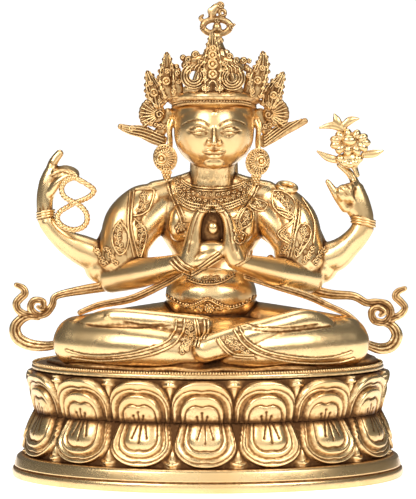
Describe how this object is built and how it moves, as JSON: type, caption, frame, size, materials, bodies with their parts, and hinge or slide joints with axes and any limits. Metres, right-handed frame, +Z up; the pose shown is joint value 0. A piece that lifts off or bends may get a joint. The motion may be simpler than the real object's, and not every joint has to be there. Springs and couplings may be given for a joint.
{
  "type": "avalokiteshvara statue",
  "caption": "Seated bodhisattva statue in polished cast brass with raised and joined hands, crown, scarves, prayer rope and lotus sprig, on an oval double lotus base.",
  "frame": {"origin": "centre of the underside of the base's bounding box, at the height it stands on", "axes": "+Z up along the figure's height, -Y is the way the figure faces, +X is on the viewer's right"},
  "size_m": [0.2749, 0.181, 0.3308],
  "materials": {
    "polished_brass": "hand polished cast brass, bright on the high places, with brown patina left in the hollows",
    "base_brass": "hand polished cast brass, bright on the rims, with brown patina left between the petals"
  },
  "bodies": {
    "root": {"lotus_base": "base_brass", "figure": "polished_brass", "mala": "polished_brass", "lotus_flower": "polished_brass"}
  },
  "joints": []
}
